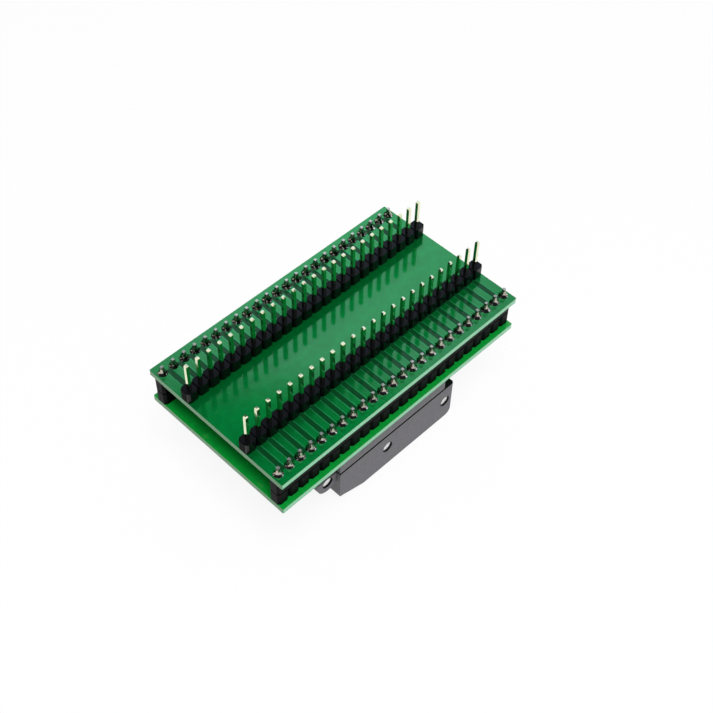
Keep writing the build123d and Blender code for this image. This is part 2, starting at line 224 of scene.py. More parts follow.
@dataclass(frozen=True)
class MaskedLaminate:
    """Glass laminate with copper tracks under glossy green solder mask, sawn at its edges.

    Over copper the mask is a blurred green-tinted mirror under a clear coat, over bare laminate
    it is a dark dull green, and the sawn edge shows pale glass fibre. The coat is smooth enough
    to mirror the pins, and lays a pale veil over the green where it mirrors the bright wall. It
    lies thinner in the dips between the tracks.
    """

    node: str
    plan: TrackPlan
    grid: PinGrid
    pad_rows: tuple[float, ...]
    over_copper: str = "#029440"
    # Painted highlight: a light green on the tracks' rims, for light caught where the mask steps
    # down.
    painted_rim_highlight: str = "#3fc07c"
    over_laminate: str = "#083f1e"
    sawn_edge: str = "#7ac398"
    snapped_edge: str = "#30793e"
    edge_skin: str = "#2f8a4c"
    tinned_pad: str = "#c3c6c4"
    track_width: float = 1.55
    elbow_width: float = 0.9
    elbow_pitch: float = 0.95
    elbow_first: float = 13.6
    elbow_pin: float = 6.5
    last_pin: float = 11.5
    blur: float = 0.03
    rim_width: float = 0.04
    pad_radius: float = 0.86
    skin_height: float = 0.22
    face_margin: float = 0.002
    copper_shine: float = 0.74
    copper_blur: float = 0.24
    edge_roughness: float = 0.7
    gloss: float = 0.05
    dip_coat: float = 0.5
    ripple_size: float = 1.6
    ripple_detail: float = 4.0
    ripple_share: float = 0.06
    ripple_span: tuple[float, float] = (0.35, 0.65)
    ripple_shade: tuple[float, float] = (0.92, 1.07)
    # The streaks that the mask leaves as it runs are finer, and are drawn as wide as they show.
    streak_size: float = 0.3
    streak_detail: float = 1.0
    streak_stretch: float = 0.06
    streak_share: float = 0.9
    # Real mask steps down by 0.03 mm at a track, which would not show, so it is drawn deeper.
    step_height: float = 0.08

    def build(self) -> Material:
        """Makes the board's material, with its tracks and pads at the grid's places.

        Returns:
            The material.
        """
        material, shader = surface("solder_mask_on_laminate_" + self.node)
        tree = material.node_tree
        place = object_millimetres(tree)
        axes = add(tree, "SeparateXYZ", {0: place})
        pins = add(tree, "Math", {0: axes.outputs["X"], 1: self.grid.pitch}, operation="DIVIDE")
        pins = add(tree, "Math", {0: pins}, operation="ABSOLUTE")
        across = add(tree, "Math", {0: axes.outputs["Y"]}, operation="ABSOLUTE")
        maps = BoardMaps(*self._tracks(tree, pins, across, axes.outputs["Z"]),
                         self._pads(tree, pins, across), *self._edge(tree, axes.outputs["Z"]),
                         self._ripple(tree, place, across))
        dull = add(tree, "Math", {0: maps.bare, 1: maps.sawn}, operation="MAXIMUM")
        copper = add(tree, "MapRange", {"Value": dull, "To Min": self.copper_shine, "To Max": 0.0})
        raised = add(tree, "Math", {0: maps.ripple, 1: self.ripple_share, 2: 1.0},
                     operation="MULTIPLY_ADD")
        raised = add(tree, "Math", {0: raised, 1: maps.bare}, operation="SUBTRACT")
        relief = add(tree, "Bump", {"Height": raised, "Strength": 1.0,
                                    "Distance": self.step_height * MM})
        feed(tree, shader, {
            "Base Color": self._colour(tree, maps),
            "Metallic": add(tree, "Math", {0: copper, 1: maps.pads}, operation="MAXIMUM"),
            "Roughness": add(tree, "MapRange", {
                "Value": maps.sawn, "To Min": self.copper_blur, "To Max": self.edge_roughness}),
            "Specular IOR Level": 0.0,
            "Coat Weight": add(tree, "MapRange", {
                "Value": maps.bare, "To Min": 1.0, "To Max": self.dip_coat}),
            "Coat Roughness": self.gloss,
            "Normal": relief,
            "Coat Normal": relief,
        })
        return material

    def _ripple(self, tree: Tree, place: Node, across: Node) -> Node:
        """Draws the mask's unevenness: soft waves, and among the tracks streaks that it ran down.

        Args:
            tree: the material's node tree.
            place: the place on the board.
            across: the distance from the board's middle line.

        Returns:
            The mask's height.
        """
        tracks = add(tree, "Math", {0: across, 1: self.grid.plug_row}, operation="GREATER_THAN")
        share = add(tree, "Math", {0: tracks, 1: self.streak_share}, operation="MULTIPLY")
        waves = add(tree, "TexNoise", {"Vector": place, "Scale": 1 / self.ripple_size,
                                       "Detail": self.ripple_detail})
        drawn = add(tree, "VectorMath", {0: place, 1: (1.0, self.streak_stretch, 1.0)},
                    operation="MULTIPLY")
        streaks = add(tree, "TexNoise", {"Vector": drawn, "Scale": 1 / self.streak_size,
                                         "Detail": self.streak_detail})
        return add(tree, "Mix", {0: share, 2: waves, 3: streaks})

    def _tracks(self, tree: Tree, pins: Node, across: Node, height: Socket) -> tuple[Node, Node]:
        """Draws the tracks, which lie where the count of pins from the middle ends in a half.

        For elbows it is the larger of that count and of a count of the legs that run along the
        board.

        Args:
            tree: the material's node tree.
            pins: the count of pins from the middle.
            across: the distance from the board's middle line.
            height: the height of the place.

        Returns:
            One where no copper is, between the tracks, and one on the tracks' rims.
        """
        fanned = self.plan is TrackPlan.FANNED
        inner, width = self.grid.plug_row, self.track_width
        if fanned:
            inner = self.elbow_first - (ROW_PINS / 2 - self.elbow_pin) * self.elbow_pitch
            width = self.elbow_width
            start = self.elbow_pin + self.elbow_first / self.elbow_pitch
            legs = add(tree, "Math", {0: across, 1: -1 / self.elbow_pitch, 2: start},
                       operation="MULTIPLY_ADD")
            pins = add(tree, "Math", {0: pins, 1: legs}, operation="MAXIMUM")
        off_track = add(tree, "Math", {0: pins, 1: HALF}, operation="PINGPONG")
        brink = HALF - width / 2 / self.grid.pitch
        gap = add(tree, "MapRange", {"Value": off_track, "From Min": brink + self.blur,
                                     "From Max": brink - self.blur})
        zone = add(tree, "Math", {0: across, 1: inner}, operation="GREATER_THAN")
        limits = [(across, self.grid.link_row), (pins, self.last_pin)]
        if fanned:
            limits.append((height, self._middle()))
        for measure, limit in limits:
            within = add(tree, "Math", {0: measure, 1: limit}, operation="LESS_THAN")
            zone = add(tree, "Math", {0: zone, 1: within}, operation="MULTIPLY")
        off_rim = add(tree, "Math", {0: off_track, 1: brink + self.rim_width},
                      operation="SUBTRACT")
        off_rim = add(tree, "Math", {0: off_rim}, operation="ABSOLUTE")
        rim = add(tree, "MapRange", {"Value": off_rim, "From Max": self.rim_width,
                                     "To Min": 1.0, "To Max": 0.0})
        return (add(tree, "Math", {0: gap, 1: zone}, operation="MULTIPLY"),
                add(tree, "Math", {0: rim, 1: zone}, operation="MULTIPLY"))

    def _pads(self, tree: Tree, pins: Node, across: Node) -> Node:
        """Draws the tinned rings round the solder holes.

        Args:
            tree: the material's node tree.
            pins: the count of pins from the middle.
            across: the distance from the board's middle line.

        Returns:
            One on each ring.
        """
        spread = add(tree, "Math", {0: pins, 1: HALF}, operation="PINGPONG")
        from_pin = add(tree, "Math", {0: spread, 1: -self.grid.pitch, 2: self.grid.pitch / 2},
                       operation="MULTIPLY_ADD")
        found = None
        for row in self.pad_rows:
            off_row = add(tree, "Math", {0: across, 1: row}, operation="SUBTRACT")
            spot = add(tree, "CombineXYZ", {"X": from_pin, "Y": off_row})
            radius = add(tree, "VectorMath", {0: spot}, operation="LENGTH").outputs["Value"]
            ring = add(tree, "Math", {0: radius, 1: self.pad_radius}, operation="LESS_THAN")
            if found is None:
                found = ring
            else:
                found = add(tree, "Math", {0: found, 1: ring}, operation="MAXIMUM")
        return found

    def _middle(self) -> float:
        """Gives the height of the board's middle, in millimetres."""
        low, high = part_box(self.node)
        return (low.z + high.z) / 2 / MM

    def _edge(self, tree: Tree, height: Socket) -> tuple[Node, Node]:
        """Draws the board's edge.

        Args:
            tree: the material's node tree.
            height: the height of the place.

        Returns:
            One on the sawn edge, and a ramp that rises in the green skin at its two rims.
        """
        low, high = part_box(self.node)
        half = (high.z - low.z) / 2 / MM
        level = add(tree, "Math", {0: height, 1: self._middle()}, operation="SUBTRACT")
        level = add(tree, "Math", {0: level}, operation="ABSOLUTE")
        sawn = add(tree, "Math", {0: level, 1: half - self.face_margin}, operation="LESS_THAN")
        skin = add(tree, "MapRange", {"Value": level, "From Min": half - self.skin_height,
                                      "From Max": half})
        return sawn, skin

    def _colour(self, tree: Tree, maps: BoardMaps) -> Node:
        """Mixes mask, painted rim highlight, laminate, pads and sawn edge, with a slight unevenness
        all over.

        Args:
            tree: the material's node tree.
            maps: where each of them is.

        Returns:
            The colour.
        """
        face = self._layers(tree, self.over_copper, (
            (maps.rims, self.painted_rim_highlight), (maps.bare, self.over_laminate),
            (maps.pads, self.tinned_pad)))
        edge = self._layers(tree, self.sawn_edge, (
            (end_facing(tree), self.snapped_edge), (maps.skin, self.edge_skin)))
        board = add(tree, "Mix", {0: maps.sawn, 6: face, 7: edge}, data_type="RGBA").outputs[2]
        shade = add(tree, "MapRange", {
            "Value": maps.ripple, "From Min": self.ripple_span[0], "From Max": self.ripple_span[1],
            "To Min": self.ripple_shade[0], "To Max": self.ripple_shade[1]})
        return add(tree, "VectorMath", {0: board, "Scale": shade}, operation="SCALE")

    def _layers(self, tree: Tree, ground: str, layers: Iterable[tuple[Node, str]]) -> Socket:
        """Lays colours over each other.

        Args:
            tree: the material's node tree.
            ground: the lowest colour.
            layers: where each further colour is, and the colour, from the lowest up.

        Returns:
            The colour that shows.
        """
        colour = linear(ground)
        for place, paint in layers:
            colour = add(tree, "Mix", {0: place, 6: colour, 7: linear(paint)},
                         data_type="RGBA").outputs[2]
        return colour


@dataclass(frozen=True)
class MouldedPlastic:
    """An injection-moulded plastic with the fine grain that its mould leaves."""

    name: str
    colour: str
    roughness: float
    grain_size: float
    grain_height: float
    mottle: float
    sheen_level: float = 0.5
    grain_detail: float = 3.0
    grain_jaggedness: float = 0.6
    grain_strength: float = 0.6
    roughness_swing: float = 0.05
    notch_pitch: float = 0.0
    notch_width: float = 0.34
    notch_depth: float = 0.17
    torn_roughness: float = 0.9
    torn_blur: float = 0.05

    def build(self) -> Material:
        """Makes the material, with its grain in the relief and faintly in the colour.

        Returns:
            The material.
        """
        material, shader = surface(self.name)
        tree = material.node_tree
        grain = add(tree, "TexNoise", {
            "Vector": object_millimetres(tree), "Scale": 1 / self.grain_size,
            "Detail": self.grain_detail, "Roughness": self.grain_jaggedness})
        shade = add(tree, "MapRange", {
            "Value": grain, "From Min": NOISE_LOW, "From Max": NOISE_HIGH,
            "To Min": 1 - self.mottle, "To Max": 1 + self.mottle})
        rough = add(tree, "MapRange", {
            "Value": grain, "To Min": self.roughness - self.roughness_swing,
            "To Max": self.roughness + self.roughness_swing})
        relief = add(tree, "Bump", {"Height": grain, "Strength": self.grain_strength,
                                    "Distance": self.grain_height * MM})
        if self.notch_pitch:
            relief = self._notches(tree, relief)
            torn = add(tree, "MapRange", {
                "Value": end_facing(tree), "From Min": LOOKS_ALONG,
                "From Max": LOOKS_ALONG + self.torn_blur, "To Max": self.torn_roughness})
            rough = add(tree, "Math", {0: rough, 1: torn}, operation="MAXIMUM")
        feed(tree, shader, {
            "Base Color": add(tree, "VectorMath", {0: linear(self.colour)[:3], "Scale": shade},
                              operation="SCALE"),
            "Roughness": rough,
            "Specular IOR Level": self.sheen_level,
            "Normal": relief,
        })
        return material

    def _notches(self, tree: Tree, normal: Node) -> Node:
        """Cuts a V across the strip between two pins, where it can be snapped to length.

        Args:
            tree: the material's node tree.
            normal: the relief that the V is cut into.

        Returns:
            The relief with its Vs.
        """
        along = add(tree, "SeparateXYZ", {0: object_millimetres(tree)})
        from_cut = add(tree, "Math", {0: along, 1: self.notch_pitch / 2}, operation="PINGPONG")
        wall = add(tree, "MapRange", {"Value": from_cut, "From Max": self.notch_width / 2})
        return add(tree, "Bump", {"Height": wall, "Normal": normal, "Strength": 1.0,
                                  "Distance": self.notch_depth * MM})


@dataclass(frozen=True)
class SocketResin(MouldedPlastic):
    """The socket's resin, with painted shade laid in the pin recesses and along the parting line.
    """

    side_pins: tuple[str, ...] = ("pad_pin", "latch_pin", "hinge_pin")
    # Painted shade: a near-black colour in the pins' recesses and on the faces of the parting gap,
    # where shade falls.
    painted_shade: str = "#0c0c0d"
    recess_radius: float = 1.28
    recess_depth: float = 0.9
    parting: tuple[float, float] = (9.57, 10.13)

    def build(self) -> Material:
        """Makes the plain resin, then lays painted shade over its colour in the recesses and the
        parting gap.

        Returns:
            The material.
        """
        material = super().build()
        tree = material.node_tree
        shader = tree.nodes["Principled BSDF"]
        axes = add(tree, "SeparateXYZ", {0: object_millimetres(tree)})
        height = axes.outputs["Z"]
        low = add(tree, "Math", {0: height, 1: self.parting[0]}, operation="GREATER_THAN")
        high = add(tree, "Math", {0: height, 1: self.parting[1]}, operation="LESS_THAN")
        painted_shade_mask = add(tree, "Math", {0: low, 1: high}, operation="MULTIPLY")
        for pin in self.side_pins:
            recess = self._recess(tree, axes, *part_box(pin))
            painted_shade_mask = add(tree, "Math", {0: painted_shade_mask, 1: recess}, operation="MAXIMUM")
        plain = shader.inputs["Base Color"].links[0].from_socket
        mixed = add(tree, "Mix", {0: painted_shade_mask, 6: plain, 7: linear(self.painted_shade)}, data_type="RGBA")
        feed(tree, shader, {"Base Color": mixed.outputs[2]})
        return material

    def _recess(self, tree: Tree, axes: Node, low: Vector, high: Vector) -> Node:
        """Finds the two wider mouths of a pin's hole.

        Args:
            tree: the material's node tree.
            axes: the place, taken apart.
            low: the pin's lowest corner.
            high: the pin's highest corner.

        Returns:
            One inside the mouths.
        """
        middle = (low + high) / 2 / MM
        spot = add(tree, "CombineXYZ", {"X": axes.outputs["X"], "Z": axes.outputs["Z"]})
        reach = add(tree, "VectorMath", {0: spot, 1: (middle.x, 0.0, middle.z)},
                    operation="DISTANCE").outputs["Value"]
        near = add(tree, "Math", {0: reach, 1: self.recess_radius}, operation="LESS_THAN")
        across = add(tree, "Math", {0: axes.outputs["Y"]}, operation="ABSOLUTE")
        mouth = add(tree, "Math", {0: across, 1: high.y / MM, 2: self.recess_depth},
                    operation="COMPARE")
        return add(tree, "Math", {0: near, 1: mouth}, operation="MULTIPLY")


@dataclass(frozen=True)
class BareMetal:
    """A metal surface with the unevenness that its making leaves."""

    name: str
    colour: str
    roughness: float
    wave_size: float
    wave_height: float
    tarnish: float
    wave_detail: float = 2.0
    wave_strength: float = 0.7
    dulling: float = 0.08
    polish: float = 0.04
    least_roughness: float = 0.02

    def build(self) -> Material:
        """Makes the material, with low waves in the relief and a little dulling between them.

        Returns:
            The material.
        """
        material, shader = surface(self.name)
        tree = material.node_tree
        waves = add(tree, "TexNoise", {"Vector": object_millimetres(tree),
                                       "Scale": 1 / self.wave_size, "Detail": self.wave_detail})
        shade = add(tree, "MapRange", {
            "Value": waves, "From Min": NOISE_LOW, "From Max": NOISE_HIGH,
            "To Min": 1 - self.tarnish, "To Max": 1.0})
        polished = max(self.roughness - self.polish, self.least_roughness)
        feed(tree, shader, {
            "Metallic": 1.0,
            "Base Color": add(tree, "VectorMath", {0: linear(self.colour)[:3], "Scale": shade},
                              operation="SCALE"),
            "Roughness": add(tree, "MapRange", {
                "Value": waves, "To Min": self.roughness + self.dulling, "To Max": polished}),
            "Normal": add(tree, "Bump", {"Height": waves, "Strength": self.wave_strength,
                                         "Distance": self.wave_height * MM}),
        })
        return material


# A moulded grain is 0.02 to 0.1 mm across in reality, which would not show, so it is drawn coarser.
# Glass-filled nylon of the pin strips: black, with a faint bluish mirror on each flat facet.
HEADER_NYLON = MouldedPlastic(
    "glass_filled_nylon_moulded", "#070709", roughness=0.24, grain_size=0.25, grain_height=0.006,
    mottle=0.2, sheen_level=0.19)
# The plug strips are of the same nylon, with a snap-off V between two pins and torn ends.
SNAP_OFF_NYLON = replace(HEADER_NYLON, name="glass_filled_nylon_snap_off", notch_pitch=PIN_PITCH)
# The link strips came out of a duller mould, and stay black in the gap between the boards.
LINK_NYLON = replace(HEADER_NYLON, name="glass_filled_nylon_dull", roughness=0.5,
                     sheen_level=0.05)
# High-temperature resin of the socket: a neutral mid grey with a dry, spark-eroded grain.
# Its pin recesses and parting gap get painted shade, a near-black colour.
SOCKET_RESIN = SocketResin(
    "socket_resin_spark_eroded", "#68666b", roughness=0.6, grain_size=0.42, grain_height=0.045,
    mottle=0.2, sheen_level=0.4)
# Contact combs and pressure pad: a smoother black resin, seen only with the lid open.
INSERT_RESIN = MouldedPlastic(
    "insert_resin_smooth_moulded", "#1a1a1c", roughness=0.42, grain_size=0.3, grain_height=0.01,
    mottle=0.08)
# Latch lever: a darker and glossier resin than the socket's, with a finer grain.
LATCH_RESIN = MouldedPlastic(
    "latch_resin_moulded", "#2c2b2f", roughness=0.45, grain_size=0.35, grain_height=0.02,
    mottle=0.1)
# Plated square pins: very pale gold, and smooth enough to mirror the green board below.
PIN_GOLD = BareMetal(
    "gold_plate_on_drawn_brass", "#e9ebc9", roughness=0.08, wave_size=0.8, wave_height=0.004,
    tarnish=0.06)
# Tinned tails that poke out of the joints: pale and satin, a little uneven from the dip.
TAIL_TIN = BareMetal(
    "tin_plate_on_wire", "#dad3c0", roughness=0.2, wave_size=0.5, wave_height=0.02, tarnish=0.1)
# Solder as it froze: bright, with slack waves that break its mirror into streaks.
JOINT_SOLDER = BareMetal(
    "solder_frozen_bright", "#bcb5a8", roughness=0.05, wave_size=0.45, wave_height=0.05,
    tarnish=0.25)
# Ground steel of the cross pins and the spring: nearly white, with a soft mirror.
PIN_STEEL = BareMetal(
    "steel_ground", "#e4e4e3", roughness=0.22, wave_size=0.3, wave_height=0.006, tarnish=0.06)


def dress(finish: MaskedLaminate | MouldedPlastic | BareMetal, nodes: Iterable[str]) -> None:
    """Gives CAD nodes a finish.

    Args:
        finish: the finish, whose material is made once for all of them.
        nodes: the nodes' names.
    """
    material = finish.build()
    for name in nodes:
        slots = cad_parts[name].data.materials
        slots.clear()
        slots.append(material)
        LOG.info("%s: %s", name, material.name)


def wire_ends(node: str, facing: Facing, diagonal: float) -> list[Vector]:
    """Finds where the wires of a CAD node end.

    Args:
        node: a node that is a group of separate wires.
        facing: the end to look at, upper or lower.
        diagonal: the distance that two corners of one wire's end stay within, in millimetres.

    Returns:
        The middle of each wire's end, in metres.
    """
    low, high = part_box(node)
    level = high.z if facing is Facing.UP else low.z
    places = (vertex.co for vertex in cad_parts[node].data.vertices)
    corners = [place for place in places if abs(place.z - level) < LEVEL_SLACK * MM]
    wires: list[list[Vector]] = []
    for corner in sorted(corners, key=lambda c: c.x):
        near = [wire for wire in wires if (wire[0] - corner).length < diagonal * MM]
        if near:
            near[-1].append(corner)
        else:
            wires.append([corner])
    return [sum(wire, Vector()) / len(wire) for wire in wires]


@dataclass
class SolderRow:
    """A row of hand-made solder joints, one round each wire of a node.

    A joint is a concave cone that climbs its wire, a little different each time. Its rings give
    the share of its height that each is at, and how far it spreads from neck to pad.
    """

    name: str
    wires: str
    board: str
    body: str
    facing: Facing
    pad_radius: float = 1.0
    neck_radius: float = 0.38
    height: float = 1.5
    wire_diagonal: float = 0.85
    sides: int = 16
    smooth_angle: float = 50.0
    lean: float = 0.05
    ridge: float = 0.19
    foot_share: float = 0.25
    foot_height: float = 0.15
    seed: int = 7
    size_span: tuple[float, float] = (0.95, 1.05)
    height_span: tuple[float, float] = (0.9, 1.06)
    ridge_span: tuple[float, float] = (0.3, 1.0)
    rings: tuple[tuple[float, float], ...] = (
        (0.04, 0.97), (0.12, 0.78), (0.26, 0.52), (0.48, 0.28), (0.75, 0.1), (1.0, 0.0))

    def build(self) -> Object:
        """Models one joint, copies it to each wire, and joins the copies into one piece.

        Returns:
            The piece.
        """
        low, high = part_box(self.board)
        face = high.z if self.facing is Facing.UP else low.z
        pattern = self._model_joint()
        chance = random.Random(self.seed)
        ends = wire_ends(self.wires, self.facing, self.wire_diagonal)
        copies = [self._copy(pattern, end, face, chance) for end in ends]
        bpy.data.objects.remove(pattern)
        bpy.ops.object.select_all(action="DESELECT")
        for joint in copies:
            joint.select_set(True)
        bpy.context.view_layer.objects.active = copies[0]
        bpy.ops.object.join()
        row = bpy.context.view_layer.objects.active
        row.name = self.name
        row.data.name = self.name
        solder = bpy.data.materials.get(JOINT_SOLDER.name) or JOINT_SOLDER.build()
        row.data.materials.append(solder)
        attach(row, self.body)
        LOG.info("%s: %d joints", self.name, len(copies))
        return row

    def _model_joint(self) -> Object:
        """Extrudes a joint up from its pad, ring by ring, at the origin.

        Returns:
            The joint.
        """
        bpy.ops.object.select_all(action="DESELECT")
        bpy.ops.mesh.primitive_circle_add(vertices=self.sides, radius=self.pad_radius * MM,
                                          fill_type="NGON")
        joint = bpy.context.view_layer.objects.active
        bpy.ops.object.mode_set(mode="EDIT")
        bpy.ops.mesh.select_all(action="SELECT")
        risen, radius = 0.0, self.pad_radius
        for share, spread in self.rings:
            target = self.neck_radius + (self.pad_radius - self.neck_radius) * spread
            step = share * self.height - risen
            bpy.ops.mesh.extrude_region_move(
                TRANSFORM_OT_translate={"value": (0, 0, step * MM)})
            scale = target / radius
            risen, radius = share * self.height, target
            bpy.ops.transform.resize(value=(scale, scale, 1), center_override=(0, 0, risen * MM))
        bpy.ops.mesh.select_all(action="SELECT")
        bpy.ops.mesh.normals_make_consistent(inside=False)
        bpy.ops.object.mode_set(mode="OBJECT")
        bpy.ops.object.shade_smooth_by_angle(angle=math.radians(self.smooth_angle))
        return joint

    def _copy(self, pattern: Object, end: Vector, face: float, chance: random.Random) -> Object:
        """Copies the joint to a wire, turned, flattened, ridged and leant by chance.

        Args:
            pattern: the joint at the origin.
            end: the wire's end.
            face: the height of the board's face.
            chance: what the differences are drawn from.

        Returns:
            The copy.
        """
        joint = bpy.data.objects.new(pattern.name, pattern.data.copy())
        bpy.context.scene.collection.objects.link(joint)
        size = chance.uniform(*self.size_span)
        tall = chance.uniform(*self.height_span) * self.facing.value
        turn = Matrix.Rotation(chance.uniform(0, math.tau), 4, "Z")
        lean = Vector((chance.uniform(-1, 1), chance.uniform(-1, 1))) * self.lean
        ridges = [1 + (-1) ** k * self.ridge * chance.uniform(*self.ridge_span)
                  for k in range(self.sides)]
        for vertex in joint.data.vertices:
            risen = vertex.co.z / (self.height * MM)
            around = math.atan2(vertex.co.y, vertex.co.x) / math.tau
            side = round(around * self.sides) % self.sides
            share = min(1.0, self.foot_share + risen / self.foot_height) * (1 - risen)
            bulge = 1 + (ridges[side] - 1) * share
            vertex.co.x = vertex.co.x * bulge + lean.x * MM * risen * (1 - risen)
            vertex.co.y = vertex.co.y * bulge + lean.y * MM * risen * (1 - risen)
        place = Matrix.Translation((end.x, end.y, face))
        joint.data.transform(place @ turn @ Matrix.Diagonal((size, size, tall, 1)))
        if self.facing is Facing.DOWN:
            joint.data.flip_normals()
        return joint


@dataclass
class PlugBoard:
    """The upper board, with the solder joints of its plug pins and link contacts."""

    grid: PinGrid
    node: str = "upper_board"
    body: str = "plug_board"
    plug_joint_height: float = 1.05
    plug_neck_radius: float = 0.44
    plug_diagonal: float = 0.95
    plug_seed: int = 11

    def build(self) -> None:
        """Dresses the board and solders the four rows."""
        rows = (self.grid.plug_row, self.grid.link_row)
        dress(MaskedLaminate(self.node, TrackPlan.STRAIGHT, self.grid, rows), [self.node])
        for side in Side:
            SolderRow(f"link_joints_{side.value}", f"link_contacts_{side.value}", self.node,
                      self.body, Facing.UP).build()
            SolderRow(f"plug_joints_{side.value}", f"plug_pins_{side.value}", self.node,
                      self.body, Facing.DOWN, height=self.plug_joint_height,
                      neck_radius=self.plug_neck_radius, wire_diagonal=self.plug_diagonal,
                      seed=self.plug_seed).build()


@dataclass
class SocketBoard:
    """The lower board, with the solder joints of its link pins and chip contacts."""

    grid: PinGrid
    node: str = "lower_board"
    body: str = "socket_board"
    link_joint_height: float = 1.0
    link_seed: int = 13
    contact_joint_height: float = 0.75
    contact_pad_radius: float = 0.42
    contact_neck_radius: float = 0.2
    contact_sides: int = 10
    contact_seed: int = 17
    # This board's mask is drawn lighter and less metallic than the upper board's: painted light,
    # which brightens its strips that lie in the upper board's shade.
    painted_lit_mask: str = "#0e9c38"
    lower_copper_shine: float = 0.15

    def build(self) -> None:
        """Dresses the board and solders the four rows."""
        rows = (self.grid.link_row,)
        dress(MaskedLaminate(self.node, TrackPlan.FANNED, self.grid, rows,
                             over_copper=self.painted_lit_mask, copper_shine=self.lower_copper_shine),
              [self.node])
        for side in Side:
            SolderRow(f"pin_joints_{side.value}", f"link_pins_{side.value}", self.node,
                      self.body, Facing.DOWN, height=self.link_joint_height,
                      seed=self.link_seed).build()
            SolderRow(f"contact_joints_{side.value}", f"chip_contacts_{side.value}", self.node,
                      self.body, Facing.UP, pad_radius=self.contact_pad_radius,
                      neck_radius=self.contact_neck_radius, height=self.contact_joint_height,
                      sides=self.contact_sides, seed=self.contact_seed).build()


@dataclass
class LeafSpring:
    """The latch's leaf spring, staked to the lid, with its tip bent up."""

    name: str = "latch_leaf"
    node: str = "latch_spring"
    thickness: float = 0.3
    stake_inset: float = 2.0
    stake_radius: float = 0.6
    stake_sides: int = 32
    drill_length: float = 1.2
    free_length: float = 2.4
    cuts: int = 8

    def build(self) -> Object:
        """Models the leaf in its CAD node's place, and bends it between lid and latch.

        Returns:
            The leaf.
        """
        low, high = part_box(self.node)
        thick = self.thickness * MM
        bend = high.x - thick
        bpy.ops.object.select_all(action="DESELECT")
        bpy.ops.mesh.primitive_cube_add(
            size=1, location=((low.x + high.x) / 2, 0, low.z + thick / 2),
            scale=(high.x - low.x, high.y - low.y, thick))
        leaf = bpy.context.view_layer.objects.active
        leaf.name = leaf.data.name = self.name
        bpy.ops.object.transform_apply(location=True, rotation=True, scale=True)
        self._cut_across(bend)
        self._turn_up(leaf, bend, high.z - low.z - thick)
        self._pierce(leaf, low)
        leaf.data.materials.append(bpy.data.materials[PIN_STEEL.name])
        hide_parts(self.node)
        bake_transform(leaf)
        LOG.info("%s: stands for %s", self.name, self.node)
        return leaf

    def _cut_across(self, bend: float) -> None:
        """Cuts the free length across at even steps.

        Args:
            bend: where the tip turns up, along the leaf.
        """
        bpy.ops.object.mode_set(mode="EDIT")
        for step in range(self.cuts + 1):
            place = bend - self.free_length * MM * step / self.cuts
            bpy.ops.mesh.select_all(action="SELECT")
            bpy.ops.mesh.bisect(plane_co=(place, 0, 0), plane_no=(1, 0, 0))
        bpy.ops.mesh.select_mode(type="FACE")
        bpy.ops.mesh.select_all(action="DESELECT")
        bpy.ops.object.mode_set(mode="OBJECT")

    def _turn_up(self, leaf: Object, bend: float, rise: float) -> None:
        """Extrudes the tip up from the end of the leaf's upper face.

        Args:
            leaf: the flat leaf.
            bend: where the tip turns up, along the leaf.
            rise: the tip's height.
        """
        for face in leaf.data.polygons:
            face.select = face.normal.z > LOOKS_ALONG and face.center.x > bend
        bpy.ops.object.mode_set(mode="EDIT")
        bpy.ops.mesh.extrude_region_move(TRANSFORM_OT_translate={"value": (0, 0, rise)})
        bpy.ops.object.mode_set(mode="OBJECT")

    def _pierce(self, leaf: Object, low: Vector) -> None:
        """Drills the hole that the lid's stake holds the leaf by.

        Args:
            leaf: the leaf.
            low: its lowest corner.
        """
        bpy.ops.object.select_all(action="DESELECT")
        bpy.ops.mesh.primitive_cylinder_add(
            vertices=self.stake_sides, radius=self.stake_radius * MM,
            depth=self.drill_length * MM, location=(low.x + self.stake_inset * MM, 0, low.z))
        drill = bpy.context.view_layer.objects.active
        hole = leaf.modifiers.new("hole", "BOOLEAN")
        hole.operation = "DIFFERENCE"
        hole.object = drill
        bpy.context.view_layer.objects.active = leaf
        bpy.ops.object.modifier_apply(modifier=hole.name)
        bpy.data.objects.remove(drill)


@dataclass
class Fittings:
    """The strips, pins, socket, lid, pad and latch, which keep their CAD shape, and the leaf."""

    def build(self) -> None:
        """Dresses the nodes, finish by finish, and models the leaf spring."""
        dress(SNAP_OFF_NYLON, both_sides("plug_header"))
        dress(LINK_NYLON, both_sides("link_socket_strip", "link_pin_strip"))
        dress(PIN_GOLD, both_sides("plug_pins", "link_pins", "chip_contacts"))
        dress(TAIL_TIN, both_sides("link_contacts"))
        dress(SOCKET_RESIN, ["socket_base", "socket_lid"])
        dress(INSERT_RESIN, ["pressure_pad", *both_sides("contact_comb")])
        dress(LATCH_RESIN, ["latch_lever"])
        dress(PIN_STEEL, ["hinge_pin", "pad_pin", "latch_pin"])
        LeafSpring().build()


def ramp(tree: Tree, height: Socket, start: float, end: float) -> Node:
    """Rises from nought to one between two angles above the horizon.

    Args:
        tree: the world's node tree.
        height: the height of the direction looked in.
        start: the angle of nought, in degrees.
        end: the angle of one, in degrees.

    Returns:
        The ramp.
    """
    edges = [math.sin(math.radians(angle)) for angle in (start, end)]
    return add(tree, "MapRange", {"Value": height, "From Min": edges[0], "From Max": edges[1]},
               interpolation_type="SMOOTHSTEP")


